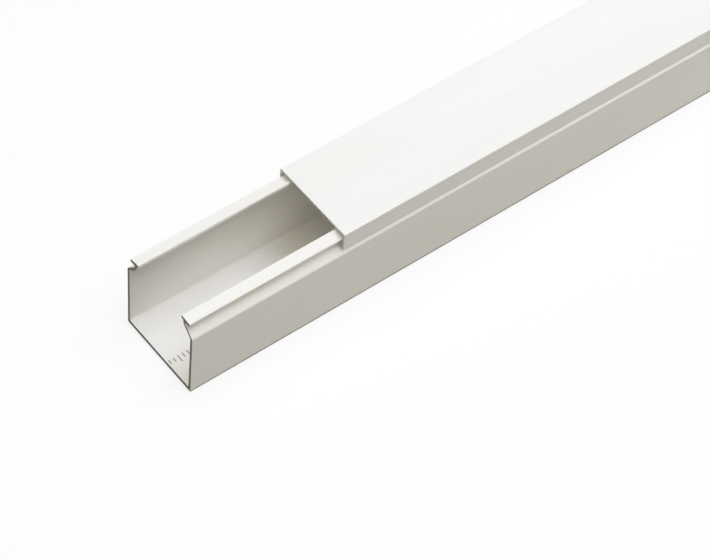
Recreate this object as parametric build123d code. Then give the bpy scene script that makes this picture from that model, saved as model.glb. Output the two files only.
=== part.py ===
from build123d import *
from math import cos, radians, sin
import os

# Cable trunking sold by the length: a channel that is fixed to a wall, and a lid that clips over its hooked lips.
# Millimetres. The origin is the middle of the channel's back face, +X runs along the length and +Z away from the wall.
# The lid is pushed back from the channel's open end, which is at -X.

# Stock
stock_length = 1000.0  # channel and lid are cut to the same length
lid_set_back = 68.0  # from the channel's open end to the lid's end
trunking_width = 40.0  # over the channel's shoulders
trunking_height = 42.0  # from the back face to the top of the lid

# Channel
floor_wall = 1.8
side_wall = 1.3
side_lean = 0.3  # how far a side wall leans outward between foot and shoulder
shoulder_drop = 10.3  # from the top of the lid down to the shoulder
neck_wall = 1.3
stem_height = 1.4  # outer face of the stem that stands up from the neck to the lip
stem_lean = 12.0  # degrees that the stem leans inward from upright
lip_width = 5.0
lip_overhang = 1.1  # how far the lip reaches inward past the stem
lip_wall = 1.7
lip_tilt = 9.0  # degrees that the lip falls towards its outer edge

# Lid
lid_wall = 1.3
lid_inset = 0.65  # how far the skirt stands inside the shoulder
skirt_wall = 0.95
toe_width = 0.15  # flat at the bottom of the skirt
barb_catch = 1.0  # how far a barb reaches in under the lip

# Clearances between lid and channel
crest_clearance = 1.1  # lid over the inner edge of the lip
tip_clearance = 0.15  # skirt beside the outer edge of the lip
catch_clearance = 0.25  # barb under the lip
seat_clearance = 0.35  # barb beside the neck

# Rounded edges
foot_radius = 0.9
inner_foot_radius = 0.8
shoulder_radius = 1.8
inner_shoulder_radius = 0.8
bend_radius = 0.6
crotch_radius = 0.4
lip_edge_radius = 0.45
lid_edge_radius = 0.6
lid_inner_radius = 0.8
barb_radius = 0.3

# Levels and reaches that lid and channel share
lip_crest_level = trunking_height - lid_wall - crest_clearance
shoulder_level = trunking_height - shoulder_drop
skirt_outer = trunking_width / 2 - lid_inset
skirt_inner = skirt_outer - skirt_wall
lip_reach = skirt_inner - tip_clearance

# Directions in the section, where X is across the trunking and Y is away from the wall
across = Vector(1, 0)
upright = Vector(0, 1)
up_wall = Vector(side_lean, shoulder_level).normalized()
up_stem = Vector(-sin(radians(stem_lean)), cos(radians(stem_lean)))
along_lip = Vector(cos(radians(lip_tilt)), -sin(radians(lip_tilt)))


def left_of(direction):
    """Unit vector a quarter turn to the left of a direction in the section."""
    return Vector(-direction.Y, direction.X)


def meet(start, direction, other_start, other_direction):
    """Point where two lines in the section cross."""
    gap = other_start - start
    return start + direction * (gap.cross(other_direction).Z / direction.cross(other_direction).Z)


# Corners that both pieces are set out from
shoulder = Vector(trunking_width / 2, shoulder_level)
lip_top_out = Vector(lip_reach, lip_crest_level + along_lip.Y * lip_width)
lip_under_out = lip_top_out - left_of(along_lip) * lip_wall
lip_under_in = lip_under_out - along_lip * lip_width
inner_stem = lip_under_in + along_lip * lip_overhang
outer_stem = meet(inner_stem - left_of(up_stem) * neck_wall, up_stem, lip_under_out, along_lip)
bend = outer_stem - up_stem * stem_height
up_neck = (bend - shoulder).normalized()


def channel_half():
    """Corners and radii of the channel's +Y half, from the foot up round the lip and down inside."""
    foot = Vector(trunking_width / 2 - side_lean, 0)
    inner_wall = foot + left_of(up_wall) * side_wall
    inner_neck = shoulder + left_of(up_neck) * neck_wall
    lip_edge = min(lip_edge_radius, lip_wall * 0.4)
    return [
        (foot, foot_radius),
        (shoulder, shoulder_radius),
        (bend, bend_radius),
        (outer_stem, crotch_radius),
        (lip_under_out, lip_edge),
        (lip_top_out, lip_edge),
        (lip_top_out - along_lip * lip_width, lip_edge),
        (lip_under_in, lip_edge),
        (inner_stem, crotch_radius),
        (meet(inner_neck, up_neck, inner_stem, up_stem), bend_radius),
        (meet(inner_wall, up_wall, inner_neck, up_neck), inner_shoulder_radius),
        (meet(inner_wall, up_wall, Vector(0, floor_wall), across), inner_foot_radius),
    ]


def lid_half():
    """Corners and radii of the lid's +Y half, from the top edge down round the barb and up inside."""
    barb_face = shoulder - left_of(up_neck) * seat_clearance
    catch_face = lip_under_out - left_of(along_lip) * catch_clearance
    toe = meet(barb_face, up_neck, Vector(skirt_outer - toe_width, 0), upright)
    nose = Vector(lip_reach - barb_catch, 0)
    return [
        (Vector(skirt_outer, trunking_height), lid_edge_radius),
        (Vector(skirt_outer, toe.Y), 0),
        (toe, 0),
        (meet(barb_face, up_neck, nose, upright), barb_radius),
        (meet(catch_face, along_lip, nose, upright), barb_radius),
        (meet(catch_face, along_lip, Vector(skirt_inner, 0), upright), barb_radius),
        (Vector(skirt_inner, trunking_height - lid_wall), lid_inner_radius),
    ]


def extrusion(half, start):
    """Length of stock along +X from start, with a section that is symmetric about Z."""
    mirrored = [(Vector(-corner.X, corner.Y), radius) for corner, radius in reversed(half)]
    corners, radii = zip(*half, *mirrored)
    section = make_face(FilletPolyline(*corners, radius=radii, close=True))
    return extrude(Plane.YZ.offset(start) * section, amount=stock_length, dir=(1, 0, 0))


channel_start = -stock_length / 2
pieces = {
    "base_channel": extrusion(channel_half(), channel_start),
    "clip_lid": extrusion(lid_half(), channel_start + lid_set_back),
}

os.makedirs("parts", exist_ok=True)
for name, piece in pieces.items():
    export_step(piece, f"parts/{name}.step")
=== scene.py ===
from math import ceil, cos, pi, radians, sin, tan

import bmesh
import bpy
from mathutils import Matrix, Vector


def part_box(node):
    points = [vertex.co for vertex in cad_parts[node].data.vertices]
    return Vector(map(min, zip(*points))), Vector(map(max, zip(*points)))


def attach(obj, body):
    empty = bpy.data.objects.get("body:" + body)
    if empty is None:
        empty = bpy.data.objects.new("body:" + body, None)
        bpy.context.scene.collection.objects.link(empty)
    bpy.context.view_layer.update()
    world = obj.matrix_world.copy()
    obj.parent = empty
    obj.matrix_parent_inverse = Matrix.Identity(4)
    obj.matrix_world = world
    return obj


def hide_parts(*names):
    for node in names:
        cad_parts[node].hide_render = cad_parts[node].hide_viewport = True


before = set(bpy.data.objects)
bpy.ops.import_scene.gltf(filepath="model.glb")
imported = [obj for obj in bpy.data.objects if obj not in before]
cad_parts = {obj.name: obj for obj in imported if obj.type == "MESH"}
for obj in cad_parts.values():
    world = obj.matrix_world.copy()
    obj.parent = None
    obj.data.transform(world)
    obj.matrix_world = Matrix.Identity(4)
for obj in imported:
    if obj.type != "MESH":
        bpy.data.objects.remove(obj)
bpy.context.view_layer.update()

# Metres. The channel lies on its back face at Z 0. +X runs along it, and its open end is at -X.
MM = 0.001
MICROMETRE = 1e-6
channel_low, channel_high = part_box("base_channel")
lid_low, lid_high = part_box("clip_lid")

# Section of the channel
trunking_width = 40.0 * MM  # over the shoulders
trunking_height = lid_high.z  # from the back face to the top of the lid
floor_wall = 1.8 * MM
side_wall = 1.3 * MM
side_lean = 0.3 * MM  # how far a side wall leans outward between foot and shoulder
shoulder_drop = 10.3 * MM  # from the top of the lid down to the shoulder
neck_wall = 1.3 * MM
stem_height = 1.4 * MM  # outer face of the stem that stands up from the neck to the lip
stem_lean = radians(12.0)  # inward from upright
lip_width = 5.0 * MM
lip_overhang = 1.1 * MM  # how far the lip reaches inward past the stem
lip_wall = 1.7 * MM
lip_tilt = radians(9.0)  # towards its outer edge

# Section of the lid
lid_wall = 1.3 * MM
lid_inset = 0.65 * MM  # how far the skirt stands inside the shoulder
skirt_wall = 0.95 * MM
toe_width = 0.15 * MM  # flat at the bottom of the skirt
barb_catch = 1.0 * MM  # how far a barb reaches in under the lip

# Clearances between lid and channel
crest_clearance = 1.1 * MM  # lid over the inner edge of the lip
tip_clearance = 0.15 * MM  # skirt beside the outer edge of the lip
catch_clearance = 0.25 * MM  # barb under the lip
seat_clearance = 0.35 * MM  # barb beside the neck

# Rounded edges of both
foot_radius = 0.9 * MM
inner_foot_radius = 0.8 * MM
shoulder_radius = 1.8 * MM
inner_shoulder_radius = 0.8 * MM
bend_radius = 0.6 * MM
crotch_radius = 0.4 * MM
lip_edge_radius = 0.45 * MM
lid_edge_radius = 0.6 * MM
lid_inner_radius = 0.8 * MM
barb_radius = 0.3 * MM

# Meshes
facet_turn = radians(9.0)  # turn of one facet in a rounded edge
length_step = 25.0 * MM  # longest face along the stock
cut_break = 0.12 * MM  # length over which a sawn edge is broken
cut_inset = 0.06 * MM  # how far a sawn edge is drawn in
sharp_turn = radians(35.0)  # an edge that turns more than this is shaded as sharp

# Plastic: feature sizes along X, Y and Z, heights in micrometres, tones as shares of the colour
channel_colour = (0.945, 0.932, 0.905)
lid_colour = (0.945, 0.942, 0.932)
plastic_ior = 1.53
die_line_size = (600 * MM, 1.1 * MM, 1.1 * MM)
die_line_height = 9.0
die_line_tone = 0.95
tone_size = (160 * MM, 45 * MM, 45 * MM)
warm_tone = (0.965, 0.955, 0.925)
grain_size = (0.5 * MM, 0.35 * MM, 0.35 * MM)
grain_height = 2.0
scuff_size = (24 * MM, 0.45 * MM, 0.45 * MM)
scuff_depth = 4.0
scuff_tone = 0.8
scuff_cover = 0.25  # how much of its tone a scuff shows
smooth_roughness = 0.30  # between die lines
lined_roughness = 0.40  # on a die line
scuff_roughness = 0.12  # added by a scuff

# Sawn faces, in the same units. Their colours hold painted shade: darker than the plastic, as end faces
# turned away from the light look
channel_cut_painted_shade = (0.40, 0.39, 0.36)
lid_cut_painted_shade = (0.80, 0.79, 0.76)
saw_slant = radians(27.0)
tooth_size = (5 * MM, 6 * MM, 0.22 * MM)
tooth_height = 40.0
tooth_tone = 1.2
smear_size = (2 * MM, 1.6 * MM, 1.6 * MM)
smear_height = 20.0
smear_tone = 0.8
smeared_roughness = 0.6
torn_roughness = 0.8
sawn_gloss = 0.25

# Printed scale on the channel's floor
ink_colour = (0.20, 0.20, 0.20)
scale_line = -4.7 * MM  # where the ticks start, across the channel
tick_pitch = 2.0 * MM
tick_width = 0.4 * MM
short_tick = 2.0 * MM
long_tick = 3.2 * MM
ticks_to_a_long_one = 5

# Studio
white = (1.0, 1.0, 1.0)
fill_colour = (1.0, 0.95, 0.84)
fill_strength = 0.02
floor_size = 30.0
floor_drop = 0.05 * MM  # keeps the floor clear of the channel's back face
floor_paint = (0.98, 0.98, 0.98)
gap_painted_shadow = (0.52, 0.505, 0.475)  # painted shadow: the floor painted darker in the narrow gap under the channel's rounded feet
floor_bounce = (0.26, 0.246, 0.222)  # how the floor lights the object
shadow_reach = 0.7  # from here outward the floor's shadows fade
white_reach = 1.4  # from here outward the floor is plain white
white_share = 0.75  # how plain white the floor is close to the object
white_wall_bounces = 14  # for light that goes to and fro between the white walls of the channel

# The photograph's camera, set out from the middle of the channel's open end
photo_width = 710
focal_pixels = 2622.87
view_azimuth = radians(-42.869)
view_elevation = radians(51.913)
view_roll = radians(6.266)
view_right = 71.92 * MM
view_up = 27.873 * MM
view_distance = 961.663 * MM
sensor_width = 36.0


def left_of(direction):
    """A direction in the section turned a quarter turn to the left."""
    return Vector((-direction.y, direction.x))


def meet(start, direction, other_start, other_direction):
    """Where two lines in the section cross."""
    share = (other_start - start).cross(other_direction) / direction.cross(other_direction)
    return start + direction * share


# Points and directions that both sections share. X is across the trunking and Y is away from the wall
across = Vector((1, 0))
upright = Vector((0, 1))
shoulder_level = trunking_height - shoulder_drop
lip_crest_level = trunking_height - lid_wall - crest_clearance
skirt_outer = trunking_width / 2 - lid_inset
skirt_inner = skirt_outer - skirt_wall
lip_reach = skirt_inner - tip_clearance
up_wall = Vector((side_lean, shoulder_level)).normalized()
up_stem = Vector((-sin(stem_lean), cos(stem_lean)))
along_lip = Vector((cos(lip_tilt), -sin(lip_tilt)))
shoulder = Vector((trunking_width / 2, shoulder_level))
lip_top_out = Vector((lip_reach, lip_crest_level + along_lip.y * lip_width))
lip_under_out = lip_top_out - left_of(along_lip) * lip_wall
lip_under_in = lip_under_out - along_lip * lip_width
inner_stem = lip_under_in + along_lip * lip_overhang
outer_stem = meet(inner_stem - left_of(up_stem) * neck_wall, up_stem, lip_under_out, along_lip)
bend = outer_stem - up_stem * stem_height
up_neck = (bend - shoulder).normalized()


def channel_half():
    """Corners of half the channel's section, each with its radius."""
    foot = Vector((trunking_width / 2 - side_lean, 0))
    inner_wall = foot + left_of(up_wall) * side_wall
    inner_neck = shoulder + left_of(up_neck) * neck_wall
    return [
        (foot, foot_radius),
        (shoulder, shoulder_radius),
        (bend, bend_radius),
        (outer_stem, crotch_radius),
        (lip_under_out, lip_edge_radius),
        (lip_top_out, lip_edge_radius),
        (lip_top_out - along_lip * lip_width, lip_edge_radius),
        (lip_under_in, lip_edge_radius),
        (inner_stem, crotch_radius),
        (meet(inner_neck, up_neck, inner_stem, up_stem), bend_radius),
        (meet(inner_wall, up_wall, inner_neck, up_neck), inner_shoulder_radius),
        (meet(inner_wall, up_wall, Vector((0, floor_wall)), across), inner_foot_radius),
    ]


def lid_half():
    """Corners of half the lid's section, each with its radius."""
    barb_face = shoulder - left_of(up_neck) * seat_clearance
    catch_face = lip_under_out - left_of(along_lip) * catch_clearance
    toe = meet(barb_face, up_neck, Vector((skirt_outer - toe_width, 0)), upright)
    nose = Vector((lip_reach - barb_catch, 0))
    return [
        (Vector((skirt_outer, trunking_height)), lid_edge_radius),
        (Vector((skirt_outer, toe.y)), 0),
        (toe, 0),
        (meet(barb_face, up_neck, nose, upright), barb_radius),
        (meet(catch_face, along_lip, nose, upright), barb_radius),
        (meet(catch_face, along_lip, Vector((skirt_inner, 0)), upright), barb_radius),
        (Vector((skirt_inner, trunking_height - lid_wall)), lid_inner_radius),
    ]


def rounded(corner, radius, before, after):
    """Points of the arc that rounds a corner of an outline, given the corners before and after it."""
    if not radius:
        return [corner]
    back, ahead = (before - corner).normalized(), (after - corner).normalized()
    half = back.angle(ahead) / 2
    centre = corner + (back + ahead).normalized() * radius / sin(half)
    spoke = corner + back * radius / tan(half) - centre
    turn = pi - 2 * half
    if ahead.cross(back) < 0:
        turn = -turn
    facets = ceil(abs(turn) / facet_turn)
    return [centre + Matrix.Rotation(turn * k / facets, 2) @ spoke for k in range(facets + 1)]


def outline(half):
    """The whole section, with its edges rounded."""
    mirrored = [(Vector((-point.x, point.y)), radius) for point, radius in reversed(half)]
    corners = half + mirrored
    count = len(corners)
    points = []
    for i, (corner, radius) in enumerate(corners):
        points += rounded(corner, radius, corners[i - 1][0], corners[(i + 1) % count][0])
    return points


def shrunk(points, inset):
    """An outline drawn in by a small inset, whichever way round it runs."""
    count = len(points)
    twice_area = sum(points[i - 1].cross(points[i]) for i in range(count))
    side = inset if twice_area > 0 else -inset
    moved = []
    for i, point in enumerate(points):
        run = (points[(i + 1) % count] - points[i - 1]).normalized()
        moved.append(point + left_of(run) * side)
    return moved


def extruded(name, points, start, end, wall_material, cut_material):
    """A length of stock with this section, its sawn ends lightly broken at the edges."""
    drawn_in = shrunk(points, cut_inset)
    steps = ceil((end - start) / length_step)
    inner_start, inner_end = start + cut_break, end - cut_break
    rings = [(start, drawn_in)]
    rings += [(inner_start + (inner_end - inner_start) * k / steps, points) for k in range(steps + 1)]
    rings += [(end, drawn_in)]
    mesh_maker = bmesh.new()
    made = [[mesh_maker.verts.new((x, p.x, p.y)) for p in section] for x, section in rings]
    count = len(points)
    for near, far in zip(made, made[1:]):
        for i in range(count):
            j = (i + 1) % count
            wall = mesh_maker.faces.new((near[i], near[j], far[j], far[i]))
            wall.smooth = True
    for ring in (made[0][::-1], made[-1]):
        cut = mesh_maker.faces.new(ring)
        cut.material_index = 1
    bmesh.ops.recalc_face_normals(mesh_maker, faces=mesh_maker.faces)
    mesh = bpy.data.meshes.new(name)
    mesh_maker.to_mesh(mesh)
    mesh_maker.free()
    mesh.set_sharp_from_angle(angle=sharp_turn)
    mesh.materials.append(wall_material)
    mesh.materials.append(cut_material)
    made_object = bpy.data.objects.new(name, mesh)
    bpy.context.scene.collection.objects.link(made_object)
    even = made_object.modifiers.new("even_shading", "WEIGHTED_NORMAL")
    even.keep_sharp = True
    even.weight = 100  # large faces lead as much as they can
    return made_object


def add(tree, kind, inputs=None, **settings):
    """A new node with its settings made and its inputs linked or set."""
    made = tree.nodes.new(kind)
    for key, value in settings.items():
        setattr(made, key, value)
    for key, value in (inputs or {}).items():
        if isinstance(value, bpy.types.NodeSocket):
            tree.links.new(value, made.inputs[key])
        else:
            made.inputs[key].default_value = value
    return made


def worked_out(tree, operation, *values):
    """The output of a Math node."""
    return add(tree, "ShaderNodeMath", dict(enumerate(values)), operation=operation).outputs[0]


def noise(tree, place, size, octaves):
    """Smooth noise whose features have this size in metres along X, Y and Z."""
    fitted = add(tree, "ShaderNodeMapping", {"Vector": place, "Scale": [1 / s for s in size]})
    inputs = {"Vector": fitted.outputs[0], "Scale": 1.0, "Detail": octaves}
    return add(tree, "ShaderNodeTexNoise", inputs).outputs["Fac"]


def spread(tree, value, low, high, to_low=0.0, to_high=1.0):
    """A value mapped from one range to another, and held within it."""
    inputs = {"Value": value, "From Min": low, "From Max": high, "To Min": to_low, "To Max": to_high}
    return add(tree, "ShaderNodeMapRange", inputs).outputs[0]


def toned(colour, tone):
    """A colour made darker, or lighter where the tone is over 1."""
    return [c * tone for c in colour]


def tinted(tree, share, colour, tint):
    """A colour mixed with a tint by a share that varies over the surface."""
    mixed = add(tree, "ShaderNodeMix", {"Factor": share}, data_type="RGBA")
    for key, value in (("A", colour), ("B", tint)):
        socket = next(s for s in mixed.inputs if s.name == key and s.type == "RGBA")
        if isinstance(value, bpy.types.NodeSocket):
            tree.links.new(value, socket)
        else:
            socket.default_value = (*value, 1)
    return next(s for s in mixed.outputs if s.type == "RGBA")


def new_material(name):
    """A material with its node tree, its shader and the place of each point on the object."""
    material = bpy.data.materials.new(name)
    material.use_nodes = True
    tree = material.node_tree
    shader = tree.nodes["Principled BSDF"]
    place = add(tree, "ShaderNodeTexCoord").outputs["Object"]
    return material, tree, shader, place


def relief(tree, height):
    """A bump whose height is in micrometres."""
    inputs = {"Height": height, "Strength": 1.0, "Distance": MICROMETRE}
    return add(tree, "ShaderNodeBump", inputs).outputs[0]


def scale_marks(tree, place):
    """The ink of a plain printed scale along the channel's floor: 1 on a tick and 0 beside it."""
    axes = add(tree, "ShaderNodeSeparateXYZ", {0: place}).outputs
    along = worked_out(tree, "SUBTRACT", axes["X"], channel_low.x)
    ticks = []
    for length, pitch in ((short_tick, tick_pitch), (long_tick, tick_pitch * ticks_to_a_long_one)):
        phase = worked_out(tree, "FRACT", worked_out(tree, "DIVIDE", along, pitch))
        on_tick = worked_out(tree, "COMPARE", phase, 0.5, tick_width / 2 / pitch)
        in_reach = worked_out(tree, "COMPARE", axes["Y"], scale_line - length / 2, length / 2)
        ticks.append(worked_out(tree, "MULTIPLY", on_tick, in_reach))
    on_floor = worked_out(tree, "COMPARE", axes["Z"], floor_wall, floor_wall / 4)
    return worked_out(tree, "MULTIPLY", worked_out(tree, "MAXIMUM", *ticks), on_floor)


def plastic(name, colour, printed=False):
    """Extruded satin plastic: die lines along it, a faint change of tone, fine grain and a few scuffs."""
    material, tree, shader, place = new_material(name)
    die_lines = noise(tree, place, die_line_size, octaves=3.0)
    tone = noise(tree, place, tone_size, octaves=3.0)
    grain = noise(tree, place, grain_size, octaves=1.0)
    scuff = spread(tree, noise(tree, place, scuff_size, octaves=1.0), low=0.68, high=0.76)
    scuff_share = worked_out(tree, "MULTIPLY", scuff, scuff_cover)
    warm_shade = [c * share for c, share in zip(colour, warm_tone)]
    shade = tinted(tree, spread(tree, tone, low=0.35, high=0.7), colour, warm_shade)
    shade = tinted(tree, spread(tree, die_lines, low=0.5, high=0.85), shade, toned(colour, die_line_tone))
    shade = tinted(tree, scuff_share, shade, toned(colour, scuff_tone))
    if printed:
        wear = spread(tree, grain, low=0.2, high=0.4)
        ink = worked_out(tree, "MULTIPLY", scale_marks(tree, place), wear)
        shade = tinted(tree, ink, shade, ink_colour)
    tree.links.new(shade, shader.inputs["Base Color"])
    on_line = spread(tree, die_lines, low=0.3, high=0.75, to_low=smooth_roughness, to_high=lined_roughness)
    roughness = worked_out(tree, "MULTIPLY_ADD", scuff, scuff_roughness, on_line)
    tree.links.new(roughness, shader.inputs["Roughness"])
    height = worked_out(tree, "MULTIPLY", die_lines, die_line_height)
    height = worked_out(tree, "MULTIPLY_ADD", grain, grain_height, height)
    height = worked_out(tree, "MULTIPLY_ADD", scuff, -scuff_depth, height)
    tree.links.new(relief(tree, height), shader.inputs["Normal"])
    shader.inputs["IOR"].default_value = plastic_ior
    return material


def sawn_plastic(name, colour):
    """The dull face that a saw leaves: fine slanting tooth marks and smeared plastic, over the given
    colour, which holds painted shade.
    """
    material, tree, shader, place = new_material(name)
    turned = add(tree, "ShaderNodeMapping", {"Vector": place, "Rotation": (saw_slant, 0, 0)}).outputs[0]
    teeth = noise(tree, turned, tooth_size, octaves=2.0)
    smear = noise(tree, place, smear_size, octaves=3.0)
    shade = tinted(tree, spread(tree, smear, low=0.3, high=0.7), colour, toned(colour, smear_tone))
    shade = tinted(tree, spread(tree, teeth, low=0.5, high=0.8), shade, toned(colour, tooth_tone))
    tree.links.new(shade, shader.inputs["Base Color"])
    roughness = spread(tree, smear, low=0.3, high=0.7, to_low=smeared_roughness, to_high=torn_roughness)
    tree.links.new(roughness, shader.inputs["Roughness"])
    height = worked_out(tree, "MULTIPLY", smear, smear_height)
    height = worked_out(tree, "MULTIPLY_ADD", teeth, tooth_height, height)
    tree.links.new(relief(tree, height), shader.inputs["Normal"])
    shader.inputs["Specular IOR Level"].default_value = sawn_gloss
    return material


def seen_directly(tree):
    """1 for rays that show the surroundings as they are: from the camera, or by way of gloss or glass."""
    rays = add(tree, "ShaderNodeLightPath").outputs
    bright = worked_out(tree, "MAXIMUM", rays["Is Camera Ray"], rays["Is Glossy Ray"])
    return worked_out(tree, "MAXIMUM", bright, rays["Is Transmission Ray"])


def mixed_shader(tree, share, first, second):
    """Two shaders mixed, with the share of the second."""
    return add(tree, "ShaderNodeMixShader", {0: share, 1: first, 2: second}).outputs[0]


def light_the_world():
    """White behind everything, and a dim warm fill on the object."""
    world = bpy.data.worlds.new("studio")
    bpy.context.scene.world = world
    world.use_nodes = True
    tree = world.node_tree
    tree.nodes.clear()
    fill_inputs = {"Color": (*fill_colour, 1), "Strength": fill_strength}
    fill = add(tree, "ShaderNodeBackground", fill_inputs).outputs[0]
    backdrop = add(tree, "ShaderNodeBackground", {"Color": (*white, 1), "Strength": 1.0}).outputs[0]
    surface = mixed_shader(tree, seen_directly(tree), fill, backdrop)
    add(tree, "ShaderNodeOutputWorld", {"Surface": surface})


def under_the_channel(tree, place):
    """1 on the floor under the channel, up to the outer faces of its feet, and 0 beside it."""
    axes = add(tree, "ShaderNodeSeparateXYZ", {0: place}).outputs
    middle = (channel_low.x + channel_high.x) / 2
    between_ends = worked_out(tree, "COMPARE", axes["X"], middle, channel_high.x - middle)
    between_feet = worked_out(tree, "COMPARE", axes["Y"], 0.0, trunking_width / 2 - side_lean)
    return worked_out(tree, "MULTIPLY", between_ends, between_feet)


def lay_floor():
    """A white floor: its own shadow plus a painted shadow in the gap under the feet, soft shade close by,
    plain further out.
    """
    bpy.ops.mesh.primitive_plane_add(size=floor_size, location=(0, 0, -floor_drop))
    floor = bpy.context.object
    floor.name = "floor"
    material = bpy.data.materials.new("white_floor")
    material.use_nodes = True
    tree = material.node_tree
    tree.nodes.clear()
    place = add(tree, "ShaderNodeTexCoord").outputs["Object"]
    reach = add(tree, "ShaderNodeVectorMath", {0: place}, operation="LENGTH").outputs["Value"]
    plain_share = spread(tree, reach, shadow_reach, white_reach, to_low=white_share)
    in_foot_shadow = under_the_channel(tree, place)
    plain_share = worked_out(tree, "MULTIPLY", plain_share, worked_out(tree, "SUBTRACT", 1.0, in_foot_shadow))
    # Painted shadow: under the channel the floor's paint is darker, on top of its own shadow there
    paint_with_shadow = tinted(tree, in_foot_shadow, floor_paint, gap_painted_shadow)
    paint = add(tree, "ShaderNodeBsdfDiffuse", {"Color": paint_with_shadow}).outputs[0]
    plain = add(tree, "ShaderNodeEmission", {"Color": (*white, 1), "Strength": 1.0}).outputs[0]
    bounce = add(tree, "ShaderNodeBsdfDiffuse", {"Color": (*floor_bounce, 1)}).outputs[0]
    shown = mixed_shader(tree, plain_share, paint, plain)
    surface = mixed_shader(tree, seen_directly(tree), bounce, shown)
    add(tree, "ShaderNodeOutputMaterial", {"Surface": surface})
    floor.data.materials.append(material)


def hang_lamp(name, location, aim, size, spread_angle, power, colour, in_gloss):
    """A rectangular soft box, its longer side along X. A small spread keeps its light near the aim.

    A box straight overhead stays out of the gloss, where it would show as glare on the lid seen from above.
    """
    lamp = bpy.data.lights.new(name, "AREA")
    lamp.shape = "RECTANGLE"
    lamp.size, lamp.size_y = size
    lamp.spread = radians(spread_angle)
    lamp.energy = power
    lamp.color = colour
    hung = bpy.data.objects.new(name, lamp)
    bpy.context.scene.collection.objects.link(hung)
    hung.visible_glossy = in_gloss
    hung.location = location
    hung.rotation_euler = (Vector(aim) - Vector(location)).to_track_quat("-Z", "Y").to_euler()


def place_camera():
    """The camera at the photograph's viewing angle."""
    back = Vector((
        sin(view_azimuth) * cos(view_elevation),
        -cos(view_azimuth) * cos(view_elevation),
        sin(view_elevation),
    ))
    level = Vector((cos(view_azimuth), sin(view_azimuth), 0))
    lift = back.cross(level)
    right = level * cos(view_roll) + lift * sin(view_roll)
    up = lift * cos(view_roll) - level * sin(view_roll)
    lens = bpy.data.cameras.new("photo_camera")
    lens.sensor_width = sensor_width
    lens.lens = sensor_width * focal_pixels / photo_width
    camera = bpy.data.objects.new("photo_camera", lens)
    bpy.context.scene.collection.objects.link(camera)
    camera.matrix_world = Matrix((right, up, back)).transposed().to_4x4()
    open_end = Vector((channel_low.x, 0, 0))
    camera.location = open_end + right * view_right + up * view_up + back * view_distance
    bpy.context.scene.camera = camera


channel = extruded(
    "channel", outline(channel_half()), channel_low.x, channel_high.x,
    plastic("channel_plastic", channel_colour, printed=True),
    # the colour of the sawn ends is darkened with painted shade
    sawn_plastic("channel_cut", channel_cut_painted_shade),
)
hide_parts("base_channel")
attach(channel, "channel")

lid = extruded(
    "lid", outline(lid_half()), lid_low.x, lid_high.x,
    plastic("lid_plastic", lid_colour),
    # the colour of the sawn ends is darkened with painted shade
    sawn_plastic("lid_cut", lid_cut_painted_shade),
)
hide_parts("clip_lid")
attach(lid, "lid")

light_the_world()
lay_floor()
hang_lamp(
    "key_box", location=(0.05, -0.14, 1.5), aim=(0.05, 0.0, 0.0), size=(3.6, 2.4),
    spread_angle=110.0, power=22.8, colour=(1.0, 0.99, 0.865), in_gloss=False,
)
hang_lamp(
    "top_box", location=(-0.05, -0.15, 1.5), aim=(-0.2, 0.0, 0.0), size=(0.9, 0.7),
    spread_angle=180.0, power=7.8, colour=(0.56, 0.62, 1.0), in_gloss=False,
)
hang_lamp(
    "side_box", location=(0.9, -1.3, 0.16), aim=(0.0, 0.0, 0.02), size=(1.4, 0.24),
    spread_angle=180.0, power=8.2, colour=(1.0, 0.94, 0.8), in_gloss=True,
)
hang_lamp(
    "back_box", location=(0.0, 1.4, 0.2), aim=(0.0, 0.0, 0.02), size=(2.0, 0.3),
    spread_angle=180.0, power=4.2, colour=(1.0, 0.97, 0.9), in_gloss=True,
)
place_camera()
bpy.context.scene.view_settings.view_transform = "Standard"
bpy.context.scene.cycles.diffuse_bounces = white_wall_bounces
bpy.context.scene.cycles.max_bounces = white_wall_bounces
